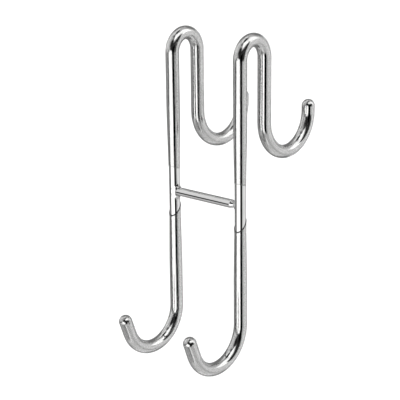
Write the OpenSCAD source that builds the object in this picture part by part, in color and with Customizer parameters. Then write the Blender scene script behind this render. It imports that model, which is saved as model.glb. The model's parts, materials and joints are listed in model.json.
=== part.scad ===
// Over-door double hook rack in bent rod: two rods, a welded crossbar and clear plastic sleeves.
// +X runs from the left rod to the right rod, +Y towards the back of the door, and +Z up.
// The origin is where the door's top edge meets the saddle: midway between the rods, in the middle
// of the gap, on the underside of the sleeved bends.

/* [Rods] */
// Diameter of the two bent rods
rod_d = 6; // [5:0.5:8]
// Distance between the two rods, centre to centre
rod_spacing = 47; // [36:1:80]
// Height of the saddle's bend centre above the front hook's bend centre
front_leg = 142.3; // [110:0.1:200]
// Straight length of the back leg, between the saddle and the back hook
back_leg = 34.4; // [25:0.1:60]

/* [Saddle] */
// Clear gap between the sleeves, which the door fits into
door_gap = 12.4; // [9:0.1:20]

/* [Hooks] */
// Bend radius of both hooks, to the middle of the rod
hook_r = 19.4; // [15:0.1:30]
// Outward lean of the front hook's straight end, in mm for each mm of its length
front_lean = 0.352; // [0.1:0.001:0.5]
// Straight end of the front hook, up to its round tip
front_end = 8.8; // [2:0.1:15]
// Straight end of the back hook, up to its round tip
back_end = 2.6; // [1:0.1:15]

/* [Crossbar] */
// Diameter of the crossbar
bar_d = 4.7; // [3:0.1:4.8]
// Height of the crossbar above the front hook's bend centre
bar_height = 66.3; // [50:0.1:80]
// Thickness of the weld bead in the corner between crossbar and rod
weld_leg = 0.6; // [0.3:0.1:0.6]

/* [Sleeves] */
// Outer diameter of the upper sleeves, over the saddle and the back hook
upper_sleeve_d = 7.4; // [7:0.1:10]
// Outer diameter of the lower sleeves, over the front hook
lower_sleeve_d = 7.3; // [7:0.1:10]
// Outer diameter at a sleeve's open end, beside the crossbar
sleeve_end_d = 6.3; // [6.2:0.1:6.6]
// Length over which a sleeve thins towards its open end
sleeve_taper = 30; // [10:1:45]
// Bare rod above the crossbar's axis, on the left and on the right
bare_above = [13, 11.3]; // [8:0.1:20]
// Bare rod below the crossbar's axis, on the left and on the right
bare_below = [10, 10.2]; // [8:0.1:20]
// Tilt of an upper sleeve's open end, which is lower at the back
upper_cut = 16; // [0:1:30]
// Tilt of a lower sleeve's open end, which is higher at the back
lower_cut = 48; // [0:1:50]

/* [Hidden] */

$fn = 96;
LEFT = 0;
RIGHT = 1;

// Space between a rod and the sleeve or weld round it, which keeps the solids apart
fit_gap = 0.03;
// How far a cutting solid reaches past what it cuts
past = 20;

rod_r = rod_d / 2;
bar_r = bar_d / 2;
upper_r = upper_sleeve_d / 2;
lower_r = lower_sleeve_d / 2;
saddle_r = door_gap / 2 + upper_r;

saddle_z = -door_gap / 2;
front_y = -saddle_r;
back_y = saddle_r;
front_hook_z = saddle_z - front_leg;
back_hook_z = saddle_z - back_leg;
front_bend = 180 - asin(front_lean);
bar_z = front_hook_z + bar_height;

function rod_x(side) = (side == LEFT ? -1 : 1) * rod_spacing / 2;

// A vertical bar at y, from height low to height high, with its radius at each
module leg(y, low, high, r_low, r_high) {
    translate([0, y, low])
        cylinder(h = high - low, r1 = r_low, r2 = r_high);
}

// Half a turn in the YZ plane about (y, z). Angles run from +Y towards +Z.
module half_turn(y, z, bend_r, from, r) {
    translate([0, y, z])
        rotate([90, 0, 90])
            rotate([0, 0, from])
                rotate_extrude(angle = 180)
                    translate([bend_r, 0])
                        circle(r);
}

// A straight end with a round tip, on the rim of a bend about (y, z) at the given angle.
// The turn is 1 to leave anticlockwise, and -1 to leave clockwise.
module tip(y, z, bend_r, at, turn, length, r) {
    translate([0, y, z])
        rotate([90, 0, 90])
            rotate([0, 0, at])
                translate([bend_r, 0, 0])
                    rotate([-90 * turn, 0, 0]) {
                        cylinder(h = length, r = r);
                        translate([0, 0, length])
                            intersection() {
                                sphere(r);
                                translate([-r, -r, 0])
                                    cube(2 * r);
                            }
                    }
}

// Saddle, back leg and back hook, with the same radius all along
module upper_run(r) {
    half_turn(0, saddle_z, saddle_r, 0, r);
    leg(back_y, back_hook_z, saddle_z, r, r);
    half_turn(back_y + hook_r, back_hook_z, hook_r, 180, r);
    tip(back_y + hook_r, back_hook_z, hook_r, 0, 1, back_end, r);
}

// Front hook, with the same radius all along. Its bend stops where the leg starts.
module lower_run(r) {
    intersection() {
        half_turn(front_y - hook_r, front_hook_z, hook_r, -front_bend, r);
        translate([-r, front_y - 2 * hook_r - r, front_hook_z - hook_r - r])
            cube([2 * r, 2 * (hook_r + r), hook_r + r]);
    }
    tip(front_y - hook_r, front_hook_z, hook_r, -front_bend, -1, front_end, r);
}

module whole_rod(r) {
    upper_run(r);
    leg(front_y, front_hook_z, saddle_z, r, r);
    lower_run(r);
}

// The half space below a plane through the front leg at height z, higher at the back by the tilt
module below(z, tilt) {
    translate([0, front_y, z])
        rotate([tilt, 0, 0])
            translate([-past, -past, -2 * past])
                cube(2 * past);
}

// The half space above the same kind of plane
module above(z, tilt) {
    translate([0, front_y, z])
        rotate([tilt, 0, 0])
            translate([-past, -past, 0])
                cube(2 * past);
}

module rod(side) {
    color("silver")
        translate([rod_x(side), 0, 0])
            whole_rod(rod_r);
}

module crossbar() {
    color("silver")
        difference() {
            translate([-rod_spacing / 2, front_y, bar_z])
                rotate([0, 90, 0])
                    cylinder(h = rod_spacing, r = bar_r);
            for (side = [LEFT, RIGHT])
                translate([rod_x(side), 0, 0])
                    leg(front_y, bar_z - past, bar_z + past, rod_r + fit_gap, rod_r + fit_gap);
        }
}

// The bead is what lies within weld_leg of both the rod and the crossbar, outside them both
module weld(side) {
    inward = side == LEFT ? 90 : -90;
    color("gainsboro")
        translate([rod_x(side), front_y, bar_z])
            difference() {
                intersection() {
                    cylinder(h = 2 * past, r = rod_r + weld_leg, center = true);
                    rotate([0, inward, 0])
                        cylinder(h = past, r = bar_r + weld_leg);
                }
                cylinder(h = 3 * past, r = rod_r + fit_gap, center = true);
                rotate([0, inward, 0])
                    cylinder(h = 2 * past, r = bar_r + fit_gap);
            }
}

module upper_sleeve(side) {
    end_z = bar_z + bare_above[side];
    thick_z = end_z + sleeve_taper;
    color("lightsteelblue", 0.5)
        translate([rod_x(side), 0, 0])
            difference() {
                union() {
                    upper_run(upper_r);
                    leg(front_y, thick_z, saddle_z, upper_r, upper_r);
                    leg(front_y, end_z - rod_r, thick_z, sleeve_end_d / 2, upper_r);
                }
                whole_rod(rod_r + fit_gap);
                below(end_z, -upper_cut);
            }
}

module lower_sleeve(side) {
    end_z = bar_z - bare_below[side];
    thick_z = end_z - sleeve_taper;
    color("lightsteelblue", 0.5)
        translate([rod_x(side), 0, 0])
            difference() {
                union() {
                    lower_run(lower_r);
                    leg(front_y, front_hook_z, thick_z, lower_r, lower_r);
                    leg(front_y, thick_z, end_z + rod_d, lower_r, sleeve_end_d / 2);
                }
                whole_rod(rod_r + fit_gap);
                above(end_z, lower_cut);
            }
}

rod(LEFT);  // rod_left
rod(RIGHT);  // rod_right
crossbar();
weld(LEFT);  // weld_left
weld(RIGHT);  // weld_right
upper_sleeve(LEFT);  // upper_sleeve_left
upper_sleeve(RIGHT);  // upper_sleeve_right
lower_sleeve(LEFT);  // lower_sleeve_left
lower_sleeve(RIGHT);  // lower_sleeve_right
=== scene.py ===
"""Looks for the over-door double hook rack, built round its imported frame.

Two chromed rods, each in one piece, carry clear plastic sleeves over the saddle and the hooks.
The crossbar is welded between them. Everything is in metres, in the frame of the CAD.
"""

import json
import math

import bmesh
import bpy
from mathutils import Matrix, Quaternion, Vector


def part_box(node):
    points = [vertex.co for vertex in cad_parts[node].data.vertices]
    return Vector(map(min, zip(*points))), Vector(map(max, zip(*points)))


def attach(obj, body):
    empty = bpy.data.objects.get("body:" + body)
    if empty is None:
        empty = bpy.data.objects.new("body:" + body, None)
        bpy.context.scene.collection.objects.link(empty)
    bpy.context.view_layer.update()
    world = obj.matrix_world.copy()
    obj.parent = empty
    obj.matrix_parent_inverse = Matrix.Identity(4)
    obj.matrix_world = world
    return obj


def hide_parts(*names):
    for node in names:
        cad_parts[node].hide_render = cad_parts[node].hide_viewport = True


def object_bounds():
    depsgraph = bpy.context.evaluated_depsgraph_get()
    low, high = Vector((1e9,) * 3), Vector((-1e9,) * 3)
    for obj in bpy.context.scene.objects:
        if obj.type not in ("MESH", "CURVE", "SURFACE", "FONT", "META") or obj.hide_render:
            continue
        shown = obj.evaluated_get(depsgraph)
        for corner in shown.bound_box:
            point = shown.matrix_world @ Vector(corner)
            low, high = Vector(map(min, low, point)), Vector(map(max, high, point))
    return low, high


SIDES = ("left", "right")

# ---------------------------------------------------------------- shape

# What the boxes of the CAD nodes don't give. The lean is sideways travel for each metre of length.
FRONT_LEAN = 0.352
FRONT_END = 0.0088
BACK_END = 0.0026

# Slopes of the sleeves' cut ends: rise for each metre towards the back
UPPER_CUT = -math.tan(math.radians(16))
LOWER_CUT = math.tan(math.radians(48))

# A sleeve's outer radius at its cut end, the length over which it grows to the full radius, its
# gap round the rod, and how much thinner than the CAD it is, so that it stays in the CAD's box
SLEEVE_END_R = 0.00315
SLEEVE_TAPER = 0.030
SLEEVE_GAP = 0.00004
BOX_MARGIN = 0.00002

# The cut end: how far its slope reaches along the sleeve, the stretch that has fine rings, and
# the length over which the rounded lip reaches the full wall, starting with a sliver of it
CUT_REACH = 0.012
LIP_ZONE = 0.002
LIP_STEP = 0.00005
LIP_START = 0.00001
UPPER_LIP = 0.0012
LOWER_LIP = 0.0004

# A lower sleeve is a little swollen at its cut end, and the swelling dies away along it
LOWER_SWELL = 0.00024
SWELL_LENGTH = 0.0016

# Painted shade at a sleeve's cut end, a dark line standing in for the shadow gap under the cut: the
# stretch over which it fades out, and how much brightness it takes away at its darkest
CUT_SHADE_FADE = (0.0004, 0.0011)
UPPER_CUT_SHADE = 0.03
LOWER_CUT_SHADE = 0.75

# Slow waves in the sleeves' skin: the depth, and each wave's length and phase
WAVE_DEPTH = 0.00002
WAVES = ((0.0113, 0.4), (0.0187, 2.1), (0.0071, 4.4))

# The crossbar runs into each rod by this share of the rod's radius. Its right end is ground to a
# bevel, given by distances from that rod's surface.
BAR_SINK = 0.4
BEVEL_START = 0.0028
BEVEL_END = 0.0006
BEVEL_DEPTH = 0.0009

# Each weld bead's reach along the bar and round the rod, and its fullness, from 0 for a hollow
# fillet to 1 for a full round bead
WELDS = {
    "left": (0.0010, 0.0021, 0.30),
    "right": (0.0007, 0.0011, 0.95),
}
# How deep a bead goes into the metal under it, and the height of the step at its edge
WELD_SINK = 0.00015
BEAD_EDGE = 0.00004
# The unevenness round a bead: how often each ripple repeats, its share and its phase, and how
# much the ripples change the fullness and the reach
RIPPLES = ((3, 0.5, 0.8), (7, 0.35, 2.0), (13, 0.25, 4.1))
RIPPLE_RISE = 0.03
RIPPLE_REACH = 0.07

# The stretches over which two tints of the metal fade out: the painted shade in the crevice where a bead
# meets the bar, along the bead, and the duller chrome by the welds, from the middle of the rod
CREVICE_SHADE_FADE = (0.0001, 0.0004)
HEAT_FADE = (0.0035, 0.0075)

# ---------------------------------------------------------------- mesh fineness

AROUND = 64
ARC_STEP = 0.0005
LEG_STEP = 0.0012
BAR_STEP = 0.0003
DOME_RINGS = 14
WELD_AROUND = 192
WELD_RINGS = 14

# The attribute that gives a point's place if its rod were straight: across, across and along
STRAIGHT = "straight"

# ---------------------------------------------------------------- camera and studio

# Angles in degrees, lengths in metres, and lens and sensor in millimetres
CAMERA_AZIMUTH = 41.9
CAMERA_ELEVATION = 16.1
CAMERA_ROLL = -0.68
CAMERA_DISTANCE = 0.6097
CAMERA_AIM = (0.0, -0.0153, -0.0822)
CAMERA_LENS = 102.64
CAMERA_SENSOR = 36.0

FLOOR_DROP = 0.03
FLOOR_HALF = 6.0

KEY_TOWARDS = (-0.35, -0.45, 1.0)
KEY_POWER = 1.6
KEY_SPREAD = 50

# The room, and the soft panels and dark cards in it, which the chrome mirrors. Each panel is
# (degrees right of the camera, elevation, half width, half height, tilt, softness, brightness),
# and a later one covers the earlier ones.
ROOM_LIGHT = 0.85
PANELS = [
    # Pale ground, and the dim wall behind the rack
    (60, -72, 150, 22, 0, 16, 1.10),
    (-176, -8, 53, 52, 0, 22, 0.25),
    # Greyer ground at the left, with a small dim patch and a small bright one
    (-75, -50, 66, 12, 0, 14, 0.60),
    (-28, -57, 7, 6, 0, 4, 0.35),
    (6, -56, 16, 8, 0, 6, 1.40),
    # Left wall, with a low dim strip, and the black card that lines the crossbar
    (-112, 24, 34, 26, 0, 12, 1.10),
    (-92, -18, 29, 8, 0, 8, 0.30),
    (-84, -12, 10, 11, 0, 6, 0.0),
    # Right wall, and the softbox high on it
    (88, 20, 30, 50, 0, 14, 1.20),
    (88, 38, 22, 24, 0, 8, 2.3),
    # Light high at the back left, with a dark bar in front, and a black ceiling
    (-138, 66, 46, 8, 0, 8, 1.6),
    (-55, 65, 34, 5, 0, 4, 0.08),
    (0, 90, 180, 14, 0, 4, 0.02),
    # Dark cards above the camera, which blacken the shoulders of the saddles
    (18, 13, 60, 20, 0, 6, 0.06),
    (-28, 36, 30, 16, 0, 16, 0.04),
    # Softbox high in front, which gives the saddles their white crescent
    (30, 58, 32, 16, 0, 8, 2.4),
    # Main softbox, low at the left, and the black card beside the camera: the legs' two bands
    (-43, -13, 35, 20, -8, 8, 2.45),
    (18, -8, 18, 24, 0, 4, 0.0),
    # Grey steps on the main softbox's upper left corner
    (-74, -2, 6, 9, 0, 3, 0.5),
    (-62, 5, 10, 7, 0, 4, 0.5),
    # Strip light behind, at the right
    (150, -12, 7, 28, 0, 6, 1.1),
]

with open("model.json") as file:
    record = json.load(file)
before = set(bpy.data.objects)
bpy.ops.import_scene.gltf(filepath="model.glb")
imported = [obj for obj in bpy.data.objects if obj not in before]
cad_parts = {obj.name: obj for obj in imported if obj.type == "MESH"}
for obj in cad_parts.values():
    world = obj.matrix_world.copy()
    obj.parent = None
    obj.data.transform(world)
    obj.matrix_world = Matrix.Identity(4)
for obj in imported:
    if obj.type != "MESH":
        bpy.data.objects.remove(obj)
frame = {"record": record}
cad_low, cad_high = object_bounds()


# ---------------------------------------------------------------- sizes read from the CAD

def mount_height(name):
    for mount in frame["record"]["mounts"]:
        if mount["name"] == name:
            return mount["pos_m"][2]
    raise KeyError(name)


def read_sizes():
    """The rack's driving sizes, from the boxes of its nodes."""
    rod_low, rod_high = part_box("rod_left")
    upper_low, upper_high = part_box("upper_sleeve_left")
    lower_low, lower_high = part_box("lower_sleeve_left")
    bar_low, bar_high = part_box("crossbar")
    size = {}
    size["rod_r"] = (rod_high.x - rod_low.x) / 2
    size["upper_r"] = (upper_high.x - upper_low.x) / 2 - BOX_MARGIN
    size["lower_r"] = (lower_high.x - lower_low.x) / 2 - BOX_MARGIN
    size["rod_x"] = -(rod_high.x + rod_low.x) / 2
    size["bar_r"] = (bar_high.z - bar_low.z) / 2
    size["bar_y"] = (bar_high.y + bar_low.y) / 2
    size["bar_z"] = (bar_high.z + bar_low.z) / 2
    size["saddle_r"] = -size["bar_y"]
    size["saddle_z"] = rod_high.z - size["rod_r"] - size["saddle_r"]
    size["hook_r"] = (rod_high.y - size["rod_r"] - size["saddle_r"]) / 2
    size["front_z"] = rod_low.z + size["rod_r"] + size["hook_r"]
    size["back_z"] = mount_height("back_hook_left") - size["upper_r"] + size["hook_r"]
    return size


S = read_sizes()


def side_x(side):
    return -S["rod_x"] if side == "left" else S["rod_x"]


def cut_height(node):
    """Where a sleeve's cut end crosses the front leg's axis."""
    low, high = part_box(node)
    if node.startswith("upper"):
        return low.z + abs(UPPER_CUT) * SLEEVE_END_R
    return high.z - LOWER_CUT * SLEEVE_END_R


# ---------------------------------------------------------------- centre lines

def arc(centre_y, centre_z, radius, start, end):
    """Stations (y, z, tangent y, tangent z) round a bend, in degrees from +Y towards +Z."""
    count = max(2, round(math.radians(abs(end - start)) * radius / ARC_STEP))
    turn = 1 if end > start else -1
    stations = []
    for i in range(count + 1):
        a = math.radians(start + (end - start) * i / count)
        y = centre_y + radius * math.cos(a)
        z = centre_z + radius * math.sin(a)
        stations.append((y, z, -turn * math.sin(a), turn * math.cos(a)))
    return stations


def straight(start, end, step=LEG_STEP):
    """Stations along a straight run."""
    run = math.dist(start, end)
    count = max(1, round(run / step))
    ty = (end[0] - start[0]) / run
    tz = (end[1] - start[1]) / run
    stations = []
    for i in range(count + 1):
        gone = run * i / count
        stations.append((start[0] + ty * gone, start[1] + tz * gone, ty, tz))
    return stations


def joined(*runs):
    """One centre line from several runs, each starting where the last one ends."""
    line = list(runs[0])
    for run in runs[1:]:
        line += run[1:]
    return line


def front_hook_line():
    """From the front hook's tip, round its bend, to the bottom of the front leg."""
    bend = 180 - math.degrees(math.asin(FRONT_LEAN))
    centre_y = -S["saddle_r"] - S["hook_r"]
    curve = arc(centre_y, S["front_z"], S["hook_r"], -bend, 0)
    y, z, ty, tz = curve[0]
    tip = straight((y - ty * FRONT_END, z - tz * FRONT_END), (y, z))
    return joined(tip, curve)


def back_hook_line():
    """Over the saddle, down the back leg and round the back hook to its tip."""
    saddle = arc(0, S["saddle_z"], S["saddle_r"], 180, 0)
    leg = straight((S["saddle_r"], S["saddle_z"]), (S["saddle_r"], S["back_z"]))
    centre_y = S["saddle_r"] + S["hook_r"]
    curve = arc(centre_y, S["back_z"], S["hook_r"], 180, 360)
    tip_y = centre_y + S["hook_r"]
    tip = straight((tip_y, S["back_z"]), (tip_y, S["back_z"] + BACK_END))
    return joined(saddle, leg, curve, tip)


def leg_line(low, high):
    return straight((-S["saddle_r"], low), (-S["saddle_r"], high))


def lip_line(end, turn):
    """The first stretch of a sleeve from its cut end, in fine steps. The turn is 1 for upwards."""
    return straight((-S["saddle_r"], end), (-S["saddle_r"], end + turn * LIP_ZONE), LIP_STEP)


# ---------------------------------------------------------------- meshes

def ring(x, station, radius, slope=0.0):
    """Points round a station. A slope slides each point along the rod by its offset in Y."""
    y, z, ty, tz = station
    points = []
    for i in range(AROUND):
        a = 2 * math.pi * i / AROUND
        side = radius * math.cos(a)
        out = radius * math.sin(a)
        slide = slope * out
        points.append(Vector((x + side, y + out * tz + slide * ty, z - out * ty + slide * tz)))
    return points


def dome(x, station, radius, forward):
    """Rings of a half sphere beyond a station, and its pole."""
    y, z, ty, tz = station
    rings = []
    for k in range(1, DOME_RINGS):
        a = math.pi / 2 * k / DOME_RINGS
        ahead = forward * radius * math.sin(a)
        rings.append(ring(x, (y + ty * ahead, z + tz * ahead, ty, tz), radius * math.cos(a)))
    pole = Vector((x, y + ty * forward * radius, z + tz * forward * radius))
    return rings, pole


class Skin:
    """Collects rings of points into one mesh of quads."""

    def __init__(self, count=AROUND):
        self.count = count
        self.points = []
        self.faces = []
        self.places = []
        self.centre = None
        self.along = 0.0

    def add_ring(self, points):
        """Adds a ring, and notes where its points would lie if the rod were straight."""
        first = len(self.points)
        centre = sum(points, Vector()) / len(points)
        if self.centre is not None:
            self.along += (centre - self.centre).length
        self.centre = centre
        for i, point in enumerate(points):
            a = 2 * math.pi * i / len(points)
            r = (point - centre).length
            self.places.append((r * math.cos(a), r * math.sin(a), self.along))
        self.points += points
        return first

    def bridge(self, a, b):
        for i in range(self.count):
            j = (i + 1) % self.count
            self.faces.append((a + i, a + j, b + j, b + i))

    def cap(self, a, pole):
        self.points.append(pole)
        self.places.append((0.0, 0.0, self.places[a][2]))
        last = len(self.points) - 1
        for i in range(self.count):
            j = (i + 1) % self.count
            self.faces.append((a + i, a + j, last))

    def run(self, rings):
        """Bridges a list of rings and returns where the first and the last one start."""
        self.centre = None
        self.along = 0.0
        starts = [self.add_ring(points) for points in rings]
        for a, b in zip(starts, starts[1:]):
            self.bridge(a, b)
        return starts[0], starts[-1]

    def piece(self, name, material):
        """The closed mesh as an object, smooth, with every face turned outwards."""
        mesh = bpy.data.meshes.new(name)
        mesh.from_pydata([tuple(p) for p in self.points], [], self.faces)
        mesh.validate()
        mesh.polygons.foreach_set("use_smooth", [True] * len(mesh.polygons))
        places = mesh.attributes.new(STRAIGHT, "FLOAT_VECTOR", "POINT")
        places.data.foreach_set("vector", [value for place in self.places for value in place])
        mesh.materials.append(material)
        mesh.update()
        work = bmesh.new()
        work.from_mesh(mesh)
        bmesh.ops.recalc_face_normals(work, faces=work.faces)
        work.to_mesh(mesh)
        work.free()
        piece = bpy.data.objects.new(name, mesh)
        bpy.context.scene.collection.objects.link(piece)
        return piece


# ---------------------------------------------------------------- rods and sleeves

def rod_piece(side, material):
    """One rod in one piece, from the front hook's tip to the back hook's tip."""
    x = side_x(side)
    leg = leg_line(S["front_z"], S["saddle_z"])
    line = joined(front_hook_line(), leg, back_hook_line())
    start_rings, start_pole = dome(x, line[0], S["rod_r"], -1)
    end_rings, end_pole = dome(x, line[-1], S["rod_r"], 1)
    body_rings = [ring(x, station, S["rod_r"]) for station in line]
    skin = Skin()
    first, last = skin.run(start_rings[::-1] + body_rings + end_rings)
    skin.cap(first, start_pole)
    skin.cap(last, end_pole)
    return skin.piece(f"rod.{side}", material)


def wave(s):
    """How far a sleeve's skin sinks at a distance along it, in slow uneven waves."""
    total = sum(math.sin(2 * math.pi * s / length + phase) for length, phase in WAVES)
    return WAVE_DEPTH * (1 - total / len(WAVES)) / 2


def sleeve_piece(name, x, line, body_r, slope, lip, swell, material):
    """A clear skin over the rod. The line starts at the cut end and runs to the closed tip."""
    inner_r = S["rod_r"] + SLEEVE_GAP
    along = [0.0]
    for a, b in zip(line, line[1:]):
        along.append(along[-1] + math.dist(a[:2], b[:2]))
    outer = []
    inner = []
    for station, s in zip(line, along):
        grow = min(1.0, s / SLEEVE_TAPER)
        tilt = slope * max(0.0, 1 - s / CUT_REACH)
        outer_r = SLEEVE_END_R + (body_r - SLEEVE_END_R) * grow + swell * math.exp(-s / SWELL_LENGTH)
        outer_r -= wave(s)
        edge = min(1.0, (s + LIP_START) / lip)
        outer_r = inner_r + (outer_r - inner_r) * math.sqrt(1 - (1 - edge) ** 2)
        outer.append(ring(x, station, outer_r, tilt))
        inner.append(ring(x, station, inner_r, tilt))
    outer_dome, outer_pole = dome(x, line[-1], body_r, 1)
    inner_dome, inner_pole = dome(x, line[-1], inner_r, 1)
    skin = Skin()
    outer_first, outer_last = skin.run(outer + outer_dome)
    inner_first, inner_last = skin.run(inner + inner_dome)
    skin.cap(outer_last, outer_pole)
    skin.cap(inner_last, inner_pole)
    skin.bridge(outer_first, inner_first)
    return skin.piece(name, material)


def upper_sleeve(side, material):
    end = cut_height(f"upper_sleeve_{side}")
    line = joined(lip_line(end, 1), leg_line(end + LIP_ZONE, S["saddle_z"]), back_hook_line())
    shape = (S["upper_r"], UPPER_CUT, UPPER_LIP, 0.0)
    return sleeve_piece(f"upper_sleeve.{side}", side_x(side), line, *shape, material)


def lower_sleeve(side, material):
    end = cut_height(f"lower_sleeve_{side}")
    hook = [(y, z, -ty, -tz) for y, z, ty, tz in front_hook_line()[::-1]]
    line = joined(lip_line(end, -1), leg_line(end - LIP_ZONE, S["front_z"]), hook)
    shape = (S["lower_r"], LOWER_CUT, LOWER_LIP, LOWER_SWELL)
    return sleeve_piece(f"lower_sleeve.{side}", side_x(side), line, *shape, material)


# ---------------------------------------------------------------- crossbar and welds

def bar_radius(x):
    """The crossbar's radius at a distance x from the middle, with the bevel at its right end."""
    from_rod = S["rod_x"] - S["rod_r"] - x
    share = (BEVEL_START - from_rod) / (BEVEL_START - BEVEL_END)
    share = min(1.0, max(0.0, share))
    return S["bar_r"] - BEVEL_DEPTH * share * share * (3 - 2 * share)


def crossbar_piece(material):
    reach = S["rod_x"] - S["rod_r"] * (1 - BAR_SINK)
    count = round(2 * reach / BAR_STEP)
    rings = []
    for k in range(count + 1):
        x = -reach + 2 * reach * k / count
        r = bar_radius(x)
        points = []
        for i in range(AROUND):
            a = 2 * math.pi * i / AROUND
            points.append(Vector((x, S["bar_y"] + r * math.cos(a), S["bar_z"] + r * math.sin(a))))
        rings.append(points)
    skin = Skin()
    first, last = skin.run(rings)
    skin.cap(first, Vector((-reach, S["bar_y"], S["bar_z"])))
    skin.cap(last, Vector((reach, S["bar_y"], S["bar_z"])))
    return skin.piece("crossbar.bar", material)


def on_rod(spread, height):
    """A point on the rod's surface facing the crossbar, from the arc length round it and the height."""
    a = spread / S["rod_r"]
    return Vector((S["rod_r"] * math.cos(a), S["rod_r"] * math.sin(a), height))


def bead_section(a, bar_r, on_bar, round_rod, fullness):
    """The bead's outline at an angle round the bar, from the bar to the rod and back inside.

    It is for the left weld, with the rod's axis at the origin and the bar towards +X.
    """
    ripple = sum(share * math.sin(turns * a + phase) for turns, share, phase in RIPPLES)
    reach = 1 + RIPPLE_REACH * ripple
    from_bar = Vector((0, math.cos(a), math.sin(a)))
    y = bar_r * from_bar.y
    z = bar_r * from_bar.z
    corner = Vector((math.sqrt(S["rod_r"] ** 2 - y * y), y, z))
    toe = Vector((corner.x + on_bar * reach, y, z))
    spread = math.asin(y / S["rod_r"]) * S["rod_r"]
    foot = on_rod(spread + round_rod * reach * from_bar.y, z + round_rod * reach * from_bar.z)
    from_rod = Vector((foot.x, foot.y, 0)).normalized()
    start = toe + from_bar * BEAD_EDGE
    end = foot + from_rod * BEAD_EDGE
    crown = corner + (start + end - corner * 2) * (fullness + RIPPLE_RISE * ripple)
    path = []
    for k in range(WELD_RINGS + 1):
        t = k / WELD_RINGS
        path.append(start * (1 - t) ** 2 + crown * (2 * t * (1 - t)) + end * t ** 2)
    path.append(foot - from_rod * WELD_SINK)
    path.append(toe - from_bar * WELD_SINK)
    return path


def weld_piece(side, material):
    """A rippled bead in the corner between the crossbar and one rod."""
    sign = 1 if side == "left" else -1
    bar_r = bar_radius(-sign * (S["rod_x"] - S["rod_r"]))
    origin = Vector((side_x(side), S["bar_y"], S["bar_z"]))
    sections = []
    for i in range(WELD_AROUND):
        path = bead_section(2 * math.pi * i / WELD_AROUND, bar_r, *WELDS[side])
        sections.append([origin + Vector((sign * point.x, point.y, point.z)) for point in path])
    loops = [list(loop) for loop in zip(*sections)]
    skin = Skin(WELD_AROUND)
    first, last = skin.run(loops)
    skin.bridge(last, first)
    return skin.piece(f"weld.{side}", material)


# ---------------------------------------------------------------- node helpers

def calc(tree, operation, a, b=None, c=None):
    """A math node on values that are sockets or plain numbers."""
    node = tree.nodes.new("ShaderNodeMath")
    node.operation = operation
    for socket, value in zip(node.inputs, (a, b, c)):
        if value is None:
            continue
        if isinstance(value, (int, float)):
            socket.default_value = value
        else:
            tree.links.new(value, socket)
    return node.outputs["Value"]


def remap(tree, value, low, high, at_low=0.0, at_high=1.0):
    """The value moved from the range at_low..at_high to the range low..high, and kept inside it."""
    node = tree.nodes.new("ShaderNodeMapRange")
    node.inputs["From Min"].default_value = at_low
    node.inputs["From Max"].default_value = at_high
    node.inputs["To Min"].default_value = low
    node.inputs["To Max"].default_value = high
    tree.links.new(value, node.inputs["Value"])
    return node.outputs["Result"]


def new_material(name):
    material = bpy.data.materials.new(name)
    material.use_nodes = True
    tree = material.node_tree
    return material, tree, tree.nodes["Principled BSDF"]


def noise(tree, scale, detail, stretch=(1, 1, 1)):
    """Noise laid along the rod as if it were straight. A small stretch draws it out along that axis."""
    place = tree.nodes.new("ShaderNodeAttribute")
    place.attribute_name = STRAIGHT
    mapping = tree.nodes.new("ShaderNodeMapping")
    mapping.inputs["Scale"].default_value = stretch
    texture = tree.nodes.new("ShaderNodeTexNoise")
    texture.inputs["Scale"].default_value = scale
    texture.inputs["Detail"].default_value = detail
    tree.links.new(place.outputs["Vector"], mapping.inputs["Vector"])
    tree.links.new(mapping.outputs["Vector"], texture.inputs["Vector"])
    return texture.outputs["Fac"]


def along_rod(tree):
    """The distance along the piece from its start, in metres."""
    place = tree.nodes.new("ShaderNodeAttribute")
    place.attribute_name = STRAIGHT
    split = tree.nodes.new("ShaderNodeSeparateXYZ")
    tree.links.new(place.outputs["Vector"], split.inputs["Vector"])
    return split.outputs["Z"]


def from_welds(tree):
    """The distance from the nearer crossing of the crossbar's axis and a rod's, in metres."""
    place = tree.nodes.new("ShaderNodeTexCoord")
    distances = []
    for side in SIDES:
        gap = tree.nodes.new("ShaderNodeVectorMath")
        gap.operation = "DISTANCE"
        gap.inputs[1].default_value = (side_x(side), S["bar_y"], S["bar_z"])
        tree.links.new(place.outputs["Object"], gap.inputs[0])
        distances.append(gap.outputs["Value"])
    return calc(tree, "MINIMUM", *distances)


def paint(tree, shader, level, tint):
    """The base colour: a brightness from nodes, times a tint."""
    node = tree.nodes.new("ShaderNodeCombineColor")
    for name, share in zip(("Red", "Green", "Blue"), tint):
        tree.links.new(calc(tree, "MULTIPLY", level, share), node.inputs[name])
    tree.links.new(node.outputs["Color"], shader.inputs["Base Color"])


def roughen(tree, shader, *shares):
    """The roughness: the sum of several shares."""
    total = shares[0]
    for share in shares[1:]:
        total = calc(tree, "ADD", total, share)
    tree.links.new(total, shader.inputs["Roughness"])


def bump(tree, shader, *heights):
    """Bumps from several heights, each with its depth in metres."""
    normal = None
    for height, depth in heights:
        node = tree.nodes.new("ShaderNodeBump")
        node.inputs["Strength"].default_value = 1.0
        node.inputs["Distance"].default_value = depth
        tree.links.new(height, node.inputs["Height"])
        if normal is not None:
            tree.links.new(normal, node.inputs["Normal"])
        normal = node.outputs["Normal"]
    tree.links.new(normal, shader.inputs["Normal"])


# ---------------------------------------------------------------- materials

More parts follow.
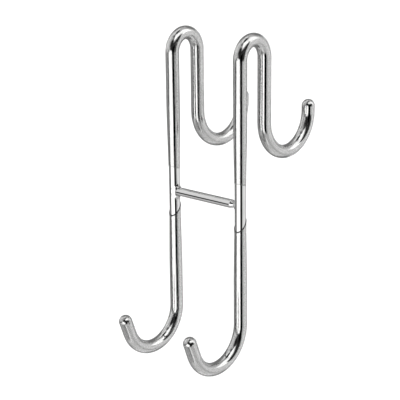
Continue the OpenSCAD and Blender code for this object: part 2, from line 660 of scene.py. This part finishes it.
def chrome_material():
    """Bright plate on drawn wire: draw lines, faint wipe marks, and a duller ring by the welds."""
    material, tree, shader = new_material("chrome_plate")
    shader.inputs["Metallic"].default_value = 1.0
    heat = remap(tree, from_welds(tree), 1.0, 0.0, *HEAT_FADE)
    cloud = noise(tree, 90, 4)
    draw_lines = noise(tree, 2600, 3, (1, 1, 0.012))
    wipes = noise(tree, 3800, 2, (0.05, 0.05, 1))
    peel = noise(tree, 420, 2)
    level = calc(tree, "MULTIPLY_ADD", heat, -0.03, remap(tree, cloud, 0.585, 0.615, 0.3, 0.7))
    paint(tree, shader, level, (1.0, 0.998, 0.996))
    roughen(
        tree, shader,
        remap(tree, cloud, 0.015, 0.05, 0.35, 0.75),
        remap(tree, draw_lines, 0.0, 0.03, 0.5, 0.8),
        remap(tree, wipes, 0.0, 0.04, 0.62, 0.85),
        calc(tree, "MULTIPLY", heat, 0.05),
    )
    bump(tree, shader, (draw_lines, 0.0000007), (peel, 0.000004))
    return material


def weld_material():
    """Plated weld metal: lumpy, duller than the rods, with painted shade in the crevice where it meets
    the bar.
    """
    material, tree, shader = new_material("chrome_weld")
    shader.inputs["Metallic"].default_value = 1.0
    lumps = noise(tree, 700, 3)
    crevice_shade = remap(tree, along_rod(tree), 1.0, 0.0, *CREVICE_SHADE_FADE)
    # The base colour is darkened along the crevice at the bead's toe: painted shade.
    level = calc(tree, "MULTIPLY_ADD", crevice_shade, -0.45, remap(tree, lumps, 0.50, 0.60, 0.3, 0.7))
    paint(tree, shader, level, (1.0, 0.995, 0.985))
    roughen(tree, shader, remap(tree, noise(tree, 1800, 3), 0.04, 0.13, 0.3, 0.7))
    bump(tree, shader, (lumps, 0.000012))
    return material


def sleeve_material(name, cut_shade_depth):
    """Clear soft PVC: extrusion lines, a little haze, and a painted shade line at the cut end, standing
    in for the shadow gap there.
    """
    material, tree, shader = new_material(name)
    shader.inputs["IOR"].default_value = 1.53
    shader.inputs["Transmission Weight"].default_value = 1.0
    cut_shade_line = remap(tree, along_rod(tree), 1.0, 0.0, *CUT_SHADE_FADE)
    cloud = noise(tree, 110, 3)
    streaks = noise(tree, 1500, 2, (1, 1, 0.015))
    peel = noise(tree, 380, 2)
    clean = remap(tree, cloud, 0.815, 0.845, 0.3, 0.7)
    # The base colour is darkened along the cut end: painted shade. The same line also roughens the skin
    # there.
    paint(tree, shader, calc(tree, "MULTIPLY_ADD", cut_shade_line, -cut_shade_depth, clean), (1.0, 1.0, 0.997))
    roughen(
        tree, shader,
        remap(tree, cloud, 0.0, 0.02, 0.4, 0.8),
        remap(tree, streaks, 0.0, 0.03, 0.5, 0.8),
        calc(tree, "MULTIPLY", cut_shade_line, 0.2),
    )
    bump(tree, shader, (streaks, 0.000002), (peel, 0.000006))
    return material


def floor_material():
    material, tree, shader = new_material("pale_paper")
    shader.inputs["Roughness"].default_value = 0.85
    shader.inputs["Specular IOR Level"].default_value = 0.1
    texture = tree.nodes.new("ShaderNodeTexNoise")
    texture.inputs["Scale"].default_value = 900
    paint(tree, shader, remap(tree, texture.outputs["Fac"], 0.90, 0.94), (1.0, 1.0, 1.0))
    return material


# ---------------------------------------------------------------- studio

def window(tree, offset, half, soft):
    """1 inside the half width, falling smoothly to 0 over the softness."""
    node = tree.nodes.new("ShaderNodeMapRange")
    node.interpolation_type = "SMOOTHSTEP"
    node.inputs["From Min"].default_value = half + soft / 2
    node.inputs["From Max"].default_value = half - soft / 2
    tree.links.new(calc(tree, "ABSOLUTE", offset), node.inputs["Value"])
    return node.outputs["Result"]


def make_world():
    """The panels on a far sphere. The camera itself sees plain white behind the rack."""
    world = bpy.data.worlds.new("studio")
    bpy.context.scene.world = world
    world.use_nodes = True
    tree = world.node_tree
    direction = tree.nodes.new("ShaderNodeTexCoord").outputs["Generated"]
    split = tree.nodes.new("ShaderNodeSeparateXYZ")
    tree.links.new(direction, split.inputs["Vector"])
    around = calc(tree, "ARCTAN2", split.outputs["X"], calc(tree, "MULTIPLY", split.outputs["Y"], -1))
    around = calc(tree, "MULTIPLY", around, 180 / math.pi)
    height = calc(tree, "MULTIPLY", calc(tree, "ARCSINE", split.outputs["Z"]), 180 / math.pi)
    level = ROOM_LIGHT
    for azimuth, elevation, half_w, half_h, tilt, soft, brightness in PANELS:
        across = calc(tree, "SUBTRACT", around, azimuth + CAMERA_AZIMUTH)
        across = calc(tree, "WRAP", across, 180, -180)
        rise = calc(tree, "SUBTRACT", height, elevation)
        rise = calc(tree, "SUBTRACT", rise, calc(tree, "MULTIPLY", across, math.tan(math.radians(tilt))))
        beside = window(tree, across, half_w, soft)
        share = calc(tree, "MULTIPLY", beside, window(tree, rise, half_h, soft))
        level = calc(tree, "MULTIPLY_ADD", calc(tree, "SUBTRACT", brightness, level), share, level)
    seen = tree.nodes.new("ShaderNodeLightPath").outputs["Is Camera Ray"]
    level = calc(tree, "MULTIPLY_ADD", calc(tree, "SUBTRACT", 1.0, level), seen, level)
    background = tree.nodes["Background"]
    background.inputs["Color"].default_value = (1, 1, 1, 1)
    tree.links.new(level, background.inputs["Strength"])


def hide_from_mirrors(thing):
    """The chrome and the clear plastic see only the panels."""
    thing.visible_glossy = False
    thing.visible_transmission = False


def make_floor():
    half = FLOOR_HALF
    z = cad_low.z - FLOOR_DROP
    mesh = bpy.data.meshes.new("floor")
    corners = [(-half, -half, z), (half, -half, z), (half, half, z), (-half, half, z)]
    mesh.from_pydata(corners, [], [(0, 1, 2, 3)])
    mesh.materials.append(floor_material())
    floor = bpy.data.objects.new("floor", mesh)
    bpy.context.scene.collection.objects.link(floor)
    hide_from_mirrors(floor)


def make_key():
    light = bpy.data.lights.new("key", "SUN")
    light.energy = KEY_POWER
    light.angle = math.radians(KEY_SPREAD)
    key = bpy.data.objects.new("key", light)
    key.rotation_euler = Vector(KEY_TOWARDS).to_track_quat("Z", "Y").to_euler()
    hide_from_mirrors(key)
    bpy.context.scene.collection.objects.link(key)


def make_camera():
    azimuth = math.radians(CAMERA_AZIMUTH)
    elevation = math.radians(CAMERA_ELEVATION)
    back = Vector((
        math.sin(azimuth) * math.cos(elevation),
        -math.cos(azimuth) * math.cos(elevation),
        math.sin(elevation),
    ))
    data = bpy.data.cameras.new("camera")
    data.lens = CAMERA_LENS
    data.sensor_width = CAMERA_SENSOR
    data.clip_start = 0.01
    data.clip_end = 20.0
    camera = bpy.data.objects.new("camera", data)
    camera.location = Vector(CAMERA_AIM) + back * CAMERA_DISTANCE
    camera.rotation_mode = "QUATERNION"
    roll = Quaternion((0, 0, 1), math.radians(CAMERA_ROLL))
    camera.rotation_quaternion = (-back).to_track_quat("-Z", "Y") @ roll
    bpy.context.scene.collection.objects.link(camera)
    bpy.context.scene.camera = camera


# ---------------------------------------------------------------- assembly

chrome = chrome_material()
weld_chrome = weld_material()
upper_clear = sleeve_material("clear_pvc_upper", UPPER_CUT_SHADE)
lower_clear = sleeve_material("clear_pvc_lower", LOWER_CUT_SHADE)

pieces = []
for side in SIDES:
    pieces.append((rod_piece(side, chrome), f"rod_{side}", "chrome"))
    pieces.append((weld_piece(side, weld_chrome), f"weld_{side}", "chrome"))
    pieces.append((upper_sleeve(side, upper_clear), f"upper_sleeve_{side}", "clear_sleeve"))
    pieces.append((lower_sleeve(side, lower_clear), f"lower_sleeve_{side}", "clear_sleeve"))
pieces.append((crossbar_piece(chrome), "crossbar", "chrome"))
for piece, node, slot in pieces:
    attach(piece, "root")
    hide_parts(node)

make_camera()
make_world()
make_floor()
make_key()
bpy.context.scene.view_settings.view_transform = "Standard"
